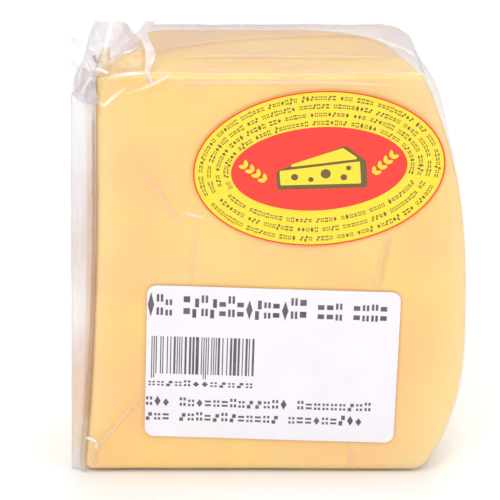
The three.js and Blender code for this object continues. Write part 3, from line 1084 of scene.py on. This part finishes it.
def stray_creases(s):
    """Light creases over the sides away from the front, most of them fanning from the ear."""
    rand = random.Random(s["film_seed"])
    spans = {
        "back": (16, (-24, 32), (8, 88), (-30, 104)),
        "left": (8, (8, 38), (8, 86), (4, 104)),
        "right": (9, (8, 36), (8, 86), (46, 100)),
        "top": (5, (-22, 20), (6, 20), (-34, 0)),
    }
    found = []
    for side, (count, across, up, towards) in spans.items():
        for _ in range(count):
            at = Vector((rand.uniform(*across), rand.uniform(*up)))
            heading = (Vector(towards) - at).normalized()
            heading.rotate(Matrix.Rotation(rand.gauss(0, 0.35), 2))
            reach = rand.uniform(14, 44) * (0.5 if side == "top" else 1)
            bend = Vector((-heading.y, heading.x)) * rand.uniform(-0.07, 0.07) * reach
            route = [at - heading * reach / 2, at + bend, at + heading * reach / 2]
            pale = rand.uniform(0.88, 1.0)
            rgb = (pale, pale * 0.96, pale * 0.94)
            haze = rand.uniform(0.14, 0.34)
            found.append(Pleat(route, rand.uniform(2.0, 4.6), rgb, haze, side, (0.5, 0.5)))
    return found


SIGHT_START = 150  # well outside the pack
PLEAT_RIDGE = 0.04  # the height of a pleat one millimetre wide
ABOVE_FILM, FOLD_RISE = 0.07, 0.3  # how far a pleat, and a fold's crest, lie off the film


def sight_of(side, p):
    """Where a line of sight onto one side of the pack starts, and the way it goes."""
    far = SIGHT_START
    if side == "front":
        return Vector((p.x, -far, p.y)), Vector((0, 1, 0))
    if side == "back":
        return Vector((p.x, far, p.y)), Vector((0, -1, 0))
    if side == "left":
        return Vector((-far, p.x, p.y)), Vector((1, 0, 0))
    if side == "right":
        return Vector((far, p.x, p.y)), Vector((-1, 0, 0))
    return Vector((p.x, p.y, far)), Vector((0, 0, -1))  # the top, and a fold that stands up on it


def pleat_points(pleat, skin):
    """Points just off the film for one pleat, and the way each faces."""
    run = through(pleat.route, 6 * (len(pleat.route) - 1) + 1)
    if pleat.side == "free":
        return [(p, Vector((0, -1, 0))) for p in run]
    found = []
    for p in run:
        start, ahead = sight_of(pleat.side, p)
        place, normal, _, _ = skin.ray_cast(start, ahead)
        if place is not None and pleat.side == "fold":
            found.append((place + Vector((0, 0, FOLD_RISE)), Vector((0, -0.95, 0.3))))
        elif place is not None:
            found.append((place + normal * ABOVE_FILM, normal))
    return found


def front_y(s, x, z, lift):
    """Y of a surface laid on the front film, following it round the edge at the rind side."""
    radius = s["front_corner"]
    over = x - (rim_line(s, z) - radius)
    proud = film_front(s, x, z) + lift
    if over <= 0:
        return -proud
    reach = radius + proud
    return radius - math.sqrt(max(reach * reach - over * over, 0.2))


def build_pleats(s, colours):
    _, _, shaped, skin_of = pouch_shape(s)
    skin = BVHTree.FromPolygons(shaped, skin_of)
    points, edges, facing, width, tones = [], [], [], [], []
    for pleat in pleats_of(s, colours):
        start = len(points)
        run = pleat_points(pleat, skin)
        for k, (p, n) in enumerate(run):
            u = k / max(len(run) - 1, 1)
            pinch = smooth(u, 0, pleat.ends[0]) * smooth(1 - u, 0, pleat.ends[1])
            points.append(p)
            facing.append(n)
            width.append(pleat.width * lerp(0.15, 1, pinch))
            tones.append(tone(pleat.rgb, pleat.haze * lerp(0.2, 1, pinch)))
        edges += [(start + k, start + k + 1) for k in range(len(run) - 1)]
    numbers = {"facing": facing, "width": width, "film_tone": tones}
    source = carrier("pleat lines", points, edges, numbers)
    material = film_material()
    inputs = {"Ridge": PLEAT_RIDGE, "Material": material}
    mesh = evaluated_mesh(source, pleat_tree(), inputs, "film_pleats")
    middle = mesh.attributes["middle"].data
    for point, colour_there in zip(middle, mesh.attributes["film_tone"].data):
        r, g, b, haze = colour_there.color
        colour_there.color = (r, g, b, haze * point.value)
    return placed_piece("film_pleats", mesh, lambda p: p, material, "film_wrap")


def placed_piece(name, mesh, place, material, node):
    """A piece from a mesh in millimetres, each point put where place says."""
    for vertex in mesh.vertices:
        vertex.co = to_frame(place(Vector(vertex.co)))
    mesh.materials.clear()
    mesh.materials.append(material)
    for polygon in mesh.polygons:
        polygon.material_index = 0
        polygon.use_smooth = False
    mesh.update()
    piece = bpy.data.objects.new(name, mesh)
    bpy.context.collection.objects.link(piece)
    return declare(piece, node)


# ---------------------------------------------------------------- label and sticker


# X and Z of the middle, and the turn in degrees.
LABEL_PLACE, STICKER_PLACE = (5, 27.1, -1.8), (15.5, 74.2, 4)
BARCODE_MODULES = 95
BAR_MARK = 4  # the mark shape that bends with the label
FLAT_INK = 0.03  # of the sticker's plain picture; its outline lies half as high


class Sheet:
    """Where a label sits on the front film: its middle and its turn."""

    def __init__(self, s, x, z, degrees):
        self.s = s
        self.x = x
        self.z = z
        self.turn = math.radians(degrees)

    def place(self, u, v, lift):
        c, d = math.cos(self.turn), math.sin(self.turn)
        x = self.x + u * c - v * d
        z = self.z + u * d + v * c
        return Vector((x, front_y(self.s, x, z, lift), z))


def ellipse(half_width, half_height, count, centre=(0, 0)):
    x, y = centre
    turns = [2 * math.pi * k / count for k in range(count)]
    return [Vector((x + half_width * math.cos(a), y + half_height * math.sin(a))) for a in turns]


def rounded_box(width, height, radius, side_steps, corner_steps):
    w, h = width / 2, height / 2
    corners = [(Vector(c), radius) for c in ((-w, -h), (w, -h), (w, h), (-w, h))]
    return rounded_ring(corners, 0, (side_steps,) * 4, (corner_steps,) * 4)


def rounded_polygon(points, radius, side_steps=6, corner_steps=5):
    corners = [(Vector(p), radius) for p in points]
    count = len(corners)
    return rounded_ring(corners, 0, (side_steps,) * count, (corner_steps,) * count)


class Layers:
    """Thin flat shapes gathered into one mesh, each bent to the sheet it lies on."""

    def __init__(self, sheet):
        self.sheet = sheet
        self.points = []
        self.faces = []

    def plate(self, outline, low, high, steps=8):
        """A filled shape from its outline, between two heights above the film."""
        middle = sum(outline, Vector((0, 0))) / len(outline)
        rings = [[middle + (p - middle) * (1 - k / steps) for p in outline] for k in range(steps)]
        count, start = len(outline), len(self.points)
        for lift in (high, low):
            for ring in rings:
                self.points += [self.sheet.place(p.x, p.y, lift) for p in ring]
            self.points.append(self.sheet.place(middle.x, middle.y, lift))
        side = steps * count + 1
        for k in range(steps):
            a = start + k * count
            for i in range(count):
                n = (i + 1) % count
                if k < steps - 1:
                    self.faces.append((a + i, a + n, a + count + n, a + count + i))
                    b = a + side
                    self.faces.append((b + i, b + count + i, b + count + n, b + n))
                else:
                    self.faces.append((a + i, a + n, start + side - 1))
                    self.faces.append((a + side + n, a + side + i, start + 2 * side - 1))
        for i in range(count):
            n = (i + 1) % count
            self.faces.append((start + i, start + side + i, start + side + n, start + n))

    def band(self, outer, inner, low, high):
        """A hollow shape between two outlines with as many points."""
        count, start = len(outer), len(self.points)
        for outline, lift in ((outer, high), (inner, high), (inner, low), (outer, low)):
            self.points += [self.sheet.place(p.x, p.y, lift) for p in outline]
        for ring in range(4):
            a, b = start + ring * count, start + (ring + 1) % 4 * count
            for i in range(count):
                n = (i + 1) % count
                self.faces.append((a + i, a + n, b + n, b + i))

    def piece(self, name, material, slot, node):
        return make_piece(name, self.points, self.faces, material, node, flat=True)


def mark_shapes():
    """The collection of raised marks that blank print is made of, each one unit wide and tall."""
    shapes = bpy.data.collections.new("print shapes")
    bpy.context.scene.collection.children.link(shapes)
    dots = [block_of((x, x + 0.38), (up, up + 0.3)) for x in (-0.5, 0.12) for up in (-0.42, 0.12)]
    rows = [block_of((-0.5, 0.5), (up, up + 0.24)) for up in (-0.36, 0.12)]
    step = [block_of((-0.5, 0.1), (-0.5, -0.05)), block_of((-0.1, 0.5), (0.05, 0.5))]
    lozenge = [Vector(p) for p in ((0, -0.5), (0.5, 0), (0, 0.5), (-0.5, 0))]
    add_shape(shapes, "mark 0 step", step)
    add_shape(shapes, "mark 1 dots", dots)
    add_shape(shapes, "mark 2 rows", rows)
    add_shape(shapes, "mark 3 lozenge", [lozenge])
    tall = [Vector((x, lerp(-0.5, 0.5, k / 8))) for x in (0.5, -0.5) for k in range(9)]
    add_ladder(shapes, "mark 4 bar", tall)
    return shapes


def block_of(across, up):
    (a, b), (c, d) = across, up
    return [Vector(p) for p in ((a, c), (b, c), (b, d), (a, d))]


def add_shape(shapes, name, outlines):
    points, faces = [], []
    for outline in outlines:
        start, count = len(points), len(outline)
        for y in (-1, 0):
            points += [(p.x, y, p.y) for p in outline]
        faces.append(tuple(range(start, start + count)))
        faces.append(tuple(range(start + 2 * count - 1, start + count - 1, -1)))
        for i in range(count):
            n = (i + 1) % count
            faces.append((start + i, start + count + i, start + count + n, start + n))
    link_shape(shapes, name, points, faces)


def add_ladder(shapes, name, sides):
    """A straight bar in short lengths, so that it can bend."""
    half = len(sides) // 2
    points = [(p.x, y, p.y) for y in (-1, 0) for p in sides]
    back = len(sides)
    faces = []
    for k in range(half - 1):
        r, l = k, half + k
        faces.append((l, r, r + 1, l + 1))
        faces.append((back + l + 1, back + r + 1, back + r, back + l))
        faces.append((r, back + r, back + r + 1, r + 1))
        faces.append((l + 1, back + l + 1, back + l, l))
    faces.append((half, back + half, back, 0))
    faces.append((half - 1, back + half - 1, back + 2 * half - 1, 2 * half - 1))
    link_shape(shapes, name, points, faces)


def link_shape(shapes, name, points, faces):
    mesh = bpy.data.meshes.new(name)
    mesh.from_pydata(points, [], faces)
    mesh.update()
    shapes.objects.link(bpy.data.objects.new(name, mesh))


class Print:
    """Rows of blank marks, kept as points for the print tree."""

    def __init__(self, seed):
        self.random = random.Random(seed)
        self.points, self.wide, self.tall, self.turn, self.kind = [], [], [], [], []

    def mark(self, u, v, wide, tall, turn=0.0, kind=0):
        self.points.append(Vector((u, 0, v)))
        self.wide.append(float(wide))
        self.tall.append(float(tall))
        self.turn.append(float(turn))
        self.kind.append(int(kind))

    def any_mark(self, u, v, wide, tall, turn=0.0):
        kind = self.random.choice((0, 1, 1, 1, 2, 2, 3))
        self.mark(u, v, wide, tall, turn, kind)

    def row(self, start, base, pitch, tall, words):
        """A line of words, each a run of marks."""
        u = start
        for length_of_word in words:
            for _ in range(length_of_word):
                high = tall * self.random.choice((0.78, 0.78, 0.82, 1.0))
                self.any_mark(u, base + high / 2, pitch * 0.72, high)
                u += pitch
            u += pitch

    def piece(self, sheet, lift, name, material, slot, node):
        numbers = {"wide": self.wide, "tall": self.tall, "turn": self.turn, "kind": self.kind}
        source = carrier(name + " points", self.points, [], numbers)
        shapes = mark_shapes()
        tree = print_tree()
        mesh = evaluated_mesh(source, tree, {"Marks": shapes, "Material": material}, name)
        for shape in list(shapes.objects):
            bpy.data.objects.remove(shape)
        bpy.data.collections.remove(shapes)

        def place(p):
            return sheet.place(p.x, p.z, lift - p.y * sheet.s["label_ink"])

        return placed_piece(name, mesh, place, material, node)


def build_label(s, colours):
    sheet = Sheet(s, *LABEL_PLACE)
    low, high = s["label_lift"], s["label_lift"] + s["label_paper"]
    paper = Layers(sheet)
    width, height = s["label_width"], s["label_height"]
    paper.plate(rounded_box(width, height, s["label_corner"], 34, 6), low, high, 22)
    stock = paper_material("label paper", colours.label, 0.5, 0.03)
    paper.piece("price_label_paper", stock, "label", "price_label")
    blank = Print(s["label_seed"])
    left, top = -width / 2, height / 2
    blank.row(left + 0.9, top - 7.6, 2.05, 6.0, (3, 14, 3, 4))
    barcode(blank, left + 1.2, top - 21.5, 24.2, 9.2)
    blank.row(left + 1.4, top - 24.6, 2.05, 1.7, (12,))
    blank.row(left + 0.9, top - 29.6, 1.95, 2.5, (3, 13, 9))
    blank.row(left + 0.9, top - 33.2, 1.95, 2.5, (3, 12, 9))
    ink = ink_material("thermal print", colours.label_ink, 0.5, 0.12)
    blank.piece(sheet, high, "price_label_print", ink, "label", "price_label")


def barcode(blank, start, base, width, tall):
    """Bars of one to three modules at random, between longer guard pairs."""
    module = width / BARCODE_MODULES
    taken = 0
    while taken < BARCODE_MODULES:
        bar = blank.random.choice((1, 1, 1, 2, 2, 3))
        guard = taken < 3 or 46 <= taken < 50 or taken > BARCODE_MODULES - 4
        bar = 1 if guard else min(bar, BARCODE_MODULES - taken)
        drop = 1.1 if guard else 0.0
        middle = start + (taken + bar / 2) * module
        wide, high = bar * module * 0.94, tall + drop
        blank.mark(middle, base + (tall - drop) / 2, wide, high, kind=BAR_MARK)
        taken += bar + (1 if guard else blank.random.choice((1, 1, 2, 2, 3)))


def build_sticker(s, colours):
    sheet = Sheet(s, *STICKER_PLACE)
    half_w, half_h = s["label_oval_width"] / 2, s["label_oval_height"] / 2
    low, face = s["label_lift"], s["label_lift"] + s["label_paper"]
    ground = Layers(sheet)
    ground.plate(ellipse(half_w, half_h, 120), low, face, 18)
    yellow = paper_material("sticker yellow", colours.sticker, 0.36, 0.02, 0.25)
    ground.piece("sticker_ground", yellow, "sticker", "oval_sticker")
    red = Layers(sheet)
    red.band(
        ellipse(half_w - 0.05, half_h - 0.05, 160),
        ellipse(half_w - 0.42, half_h - 0.42, 160),
        face - 0.02,
        face + 0.012,
    )
    red.plate(ellipse(19.8, 9.7, 96), face - 0.02, face + 0.02, 12)
    print_red = paper_material("sticker red", colours.sticker_red, 0.34, 0.03, 0.25)
    red.piece("sticker_red", print_red, "sticker", "oval_sticker")
    build_picture(sheet, colours, face + 0.02, yellow)
    blank = Print(s["label_seed"] + 1)
    for row in range(4):
        inset = 1.75 + 1.9 * row
        oval_row(blank, half_w - inset, half_h - inset, -12, 196, 0.98)
    for row in range(3):
        inset = 1.75 + 2.15 * row
        oval_row(blank, half_w - inset, half_h - inset, 204, 340, 0.98)
    ink = ink_material("sticker print", colours.sticker_ink, 0.4, 0.05)
    blank.piece(sheet, face, "sticker_print", ink, "sticker", "oval_sticker")


def oval_row(blank, half_w, half_h, first, last, pitch):
    """Marks spaced evenly along part of an oval, in runs like words."""
    angle = math.radians(first)
    left_in_word = blank.random.randint(4, 9)
    while angle < math.radians(last):
        u, v = half_w * math.cos(angle), half_h * math.sin(angle)
        du, dv = -half_w * math.sin(angle), half_h * math.cos(angle)
        speed = math.hypot(du, dv)
        turn = math.atan2(dv, du)
        tall = blank.random.choice((1.0, 1.0, 1.05, 1.4))
        blank.any_mark(u, v, pitch * 0.74, tall, -turn)
        left_in_word -= 1
        step = pitch
        if left_in_word == 0:
            step, left_in_word = pitch * 1.8, blank.random.randint(3, 9)
        angle += step / speed


def build_picture(sheet, colours, base, yellow):
    """A plain cut of cheese with round eyes between two leaf sprigs."""
    tip, heel_back, heel_top = (-9.2, 0.4), (5.6, 4.9), (9.6, 1.4)
    heel_foot, tip_foot = (9.6, -4.4), (-9.2, -3.6)
    dark = Layers(sheet)
    outline = [tip_foot, heel_foot, heel_top, heel_back, tip]
    grown = [Vector(p) * 1.08 + Vector((0.25, -0.3)) for p in outline]
    dark.plate(rounded_polygon(grown, 0.9), base, base + FLAT_INK / 2)
    pale = Layers(sheet)
    top_face = [(-8.9, 0.75), (9.1, 1.75), (5.6, 4.5)]
    cut_face = [(-8.9, -3.2), (9.2, -4.0), (9.2, 1.15), (-8.9, 0.15)]
    for face in (top_face, cut_face):
        pale.plate(rounded_polygon(face, 0.3), base, base + FLAT_INK)
    eyes = [(-5.6, -1.5, 0.8), (-2, -2.3, 0.6), (1.4, -1.2, 1.15)]
    eyes += [(5.4, -2.3, 0.75), (6.6, -0.2, 0.6)]
    for u, v, r in eyes:
        eye = ellipse(r, r * 0.95, 20, (u, v))
        dark.plate(eye, base + FLAT_INK, base + FLAT_INK * 1.5, 3)
    for side in (-1, 1):
        for k in range(4):
            at = Vector((side * (12.2 + 1.35 * k), -1.9 + 1.15 * k))
            for bank in (-1, 1):
                leaf = leaf_outline(at, math.radians(90 - side * 42 + bank * 38), 1.75, 0.55)
                pale.plate(leaf, base, base + FLAT_INK, 3)
    ink = ink_material("sticker outline", colours.sticker_ink, 0.38, 0.03)
    dark.piece("sticker_picture_outline", ink, "sticker", "oval_sticker")
    pale.piece("sticker_picture", yellow, "sticker", "oval_sticker")


def leaf_outline(root, angle, reach, half_width):
    along = Vector((math.cos(angle), math.sin(angle)))
    across = Vector((-along.y, along.x))
    count = 14
    found = []
    for k in range(count):
        turn = 2 * math.pi * k / count
        share = (1 - math.cos(turn)) / 2
        aside = -half_width * math.sin(turn) * (1 - 0.3 * share)
        found.append(root + along * reach * share + across * aside)
    return found


# ---------------------------------------------------------------- stage


FLOOR_REACH = 3.0
SKY_STRENGTH = 0.66
FILM_LAYERS_SEEN = 40  # a line of sight may cross this many faces of clear film
LAMPS = (  # name, place in metres, size in metres, power in watts
    ("key light", (-0.35, -0.95, 0.95), 0.8, 6.6),
    ("fill light", (0.95, -0.55, 0.55), 0.7, 2.2),
    ("top light", (0.1, 0.35, 1.1), 0.7, 4.4),
)


def build_stage(colours):
    mesh = bpy.data.meshes.new("floor")
    r = FLOOR_REACH
    corners = [(-r, -r, 0), (r, -r, 0), (r, r, 0), (-r, r, 0)]
    mesh.from_pydata(corners, [], [(0, 1, 2, 3)])
    mesh.materials.append(paper_material("studio floor", colours.floor, 0.75, 0.004))
    floor = bpy.data.objects.new("floor", mesh)
    bpy.context.collection.objects.link(floor)
    world = bpy.data.worlds.new("studio")
    world.use_nodes = True
    sky = world.node_tree.nodes["Background"]
    sky.inputs["Color"].default_value = (1, 1, 1, 1)
    sky.inputs["Strength"].default_value = SKY_STRENGTH
    bpy.context.scene.world = world
    for name, place, size, power in LAMPS:
        lamp(name, place, Vector((0, 0, 0.05)), size, power)
    build_camera()
    scene = bpy.context.scene
    scene.view_settings.view_transform = "Standard"
    scene.cycles.transparent_max_bounces = FILM_LAYERS_SEEN


def lamp(name, place, target, size, power):
    light = bpy.data.lights.new(name, "AREA")
    light.size = size
    light.energy = power
    made = bpy.data.objects.new(name, light)
    made.location = place
    made.rotation_euler = (target - Vector(place)).to_track_quat("-Z", "Y").to_euler()
    bpy.context.collection.objects.link(made)


def build_camera():
    """Half a metre off, a little above, square to the front cut face."""
    pitch, away, lens, sensor = math.radians(18.5), 520.0, 164.9, 36.0
    target = Vector((0, 0, 54.85))
    camera = bpy.data.cameras.new("camera")
    camera.lens = lens
    camera.sensor_width = sensor
    made = bpy.data.objects.new("camera", camera)
    made.location = to_frame(target + Vector((0, -math.cos(pitch), math.sin(pitch))) * away)
    made.rotation_euler = (math.pi / 2 - pitch, 0, 0)
    bpy.context.collection.objects.link(made)
    bpy.context.scene.camera = made


# ---------------------------------------------------------------- operators


class PACK_OT_stage(Operator):
    """Add the floor, the lights and the camera"""

    bl_idname = "pack.stage"
    bl_label = "Stage"
    bl_options = {"REGISTER", "UNDO"}

    def execute(self, context):
        build_stage(context.scene.pack_colours)
        return {"FINISHED"}


class PACK_OT_cheese(Operator):
    """Add the cut block of cheese"""

    bl_idname = "pack.cheese"
    bl_label = "Cheese"
    bl_options = {"REGISTER", "UNDO"}

    def execute(self, context):
        build_cheese(sizes(context), context.scene.pack_colours)
        return {"FINISHED"}


class PACK_OT_film(Operator):
    """Add the film pouch with its seam, its gathered corner and its pleats, with their painted
    highlights and shadow lines
    """

    bl_idname = "pack.film"
    bl_label = "Film"
    bl_options = {"REGISTER", "UNDO"}

    def execute(self, context):
        s, colours = sizes(context), context.scene.pack_colours
        build_pouch(s, colours)
        build_seam(s)
        build_ear(s)
        build_pleats(s, colours)
        return {"FINISHED"}


class PACK_OT_sticker(Operator):
    """Add the oval sticker and its plain picture"""

    bl_idname = "pack.sticker"
    bl_label = "Oval sticker"
    bl_options = {"REGISTER", "UNDO"}

    def execute(self, context):
        build_sticker(sizes(context), context.scene.pack_colours)
        return {"FINISHED"}


class PACK_OT_label(Operator):
    """Add the price label and its blank print"""

    bl_idname = "pack.label"
    bl_label = "Price label"
    bl_options = {"REGISTER", "UNDO"}

    def execute(self, context):
        build_label(sizes(context), context.scene.pack_colours)
        return {"FINISHED"}


class PACK_PT_panel(Panel):
    """The pack's sizes, colours and pieces"""

    bl_label = "Wrapped cheese"
    bl_idname = "PACK_PT_panel"
    bl_space_type = "VIEW_3D"
    bl_region_type = "UI"
    bl_category = "Cheese"

    def draw(self, context):
        layout = self.layout
        for operator in OPERATORS:
            layout.operator(operator.bl_idname)
        for name in PROPERTY_GROUPS:
            group = getattr(context.scene, name)
            box = layout.box()
            for key in group.bl_rna.properties.keys():
                if key not in ("name", "rna_type"):
                    box.prop(group, key)


OPERATORS = (PACK_OT_stage, PACK_OT_cheese, PACK_OT_film, PACK_OT_sticker, PACK_OT_label)
PROPERTY_GROUPS = {
    "pack_block": PackBlockSizes,
    "pack_film": PackFilmSizes,
    "pack_labels": PackLabelSizes,
    "pack_colours": PackColours,
}


def register():
    for kind in (*PROPERTY_GROUPS.values(), *OPERATORS, PACK_PT_panel):
        bpy.utils.register_class(kind)
    for name, kind in PROPERTY_GROUPS.items():
        setattr(bpy.types.Scene, name, PointerProperty(type=kind))


def unregister():
    for name in PROPERTY_GROUPS:
        delattr(bpy.types.Scene, name)
    for kind in (PACK_PT_panel, *reversed(OPERATORS), *reversed(PROPERTY_GROUPS.values())):
        bpy.utils.unregister_class(kind)


def main():
    register()
    bpy.ops.pack.stage()
    bpy.ops.pack.cheese()
    bpy.ops.pack.film()
    bpy.ops.pack.sticker()
    bpy.ops.pack.label()


if __name__ == "__main__":
    main()
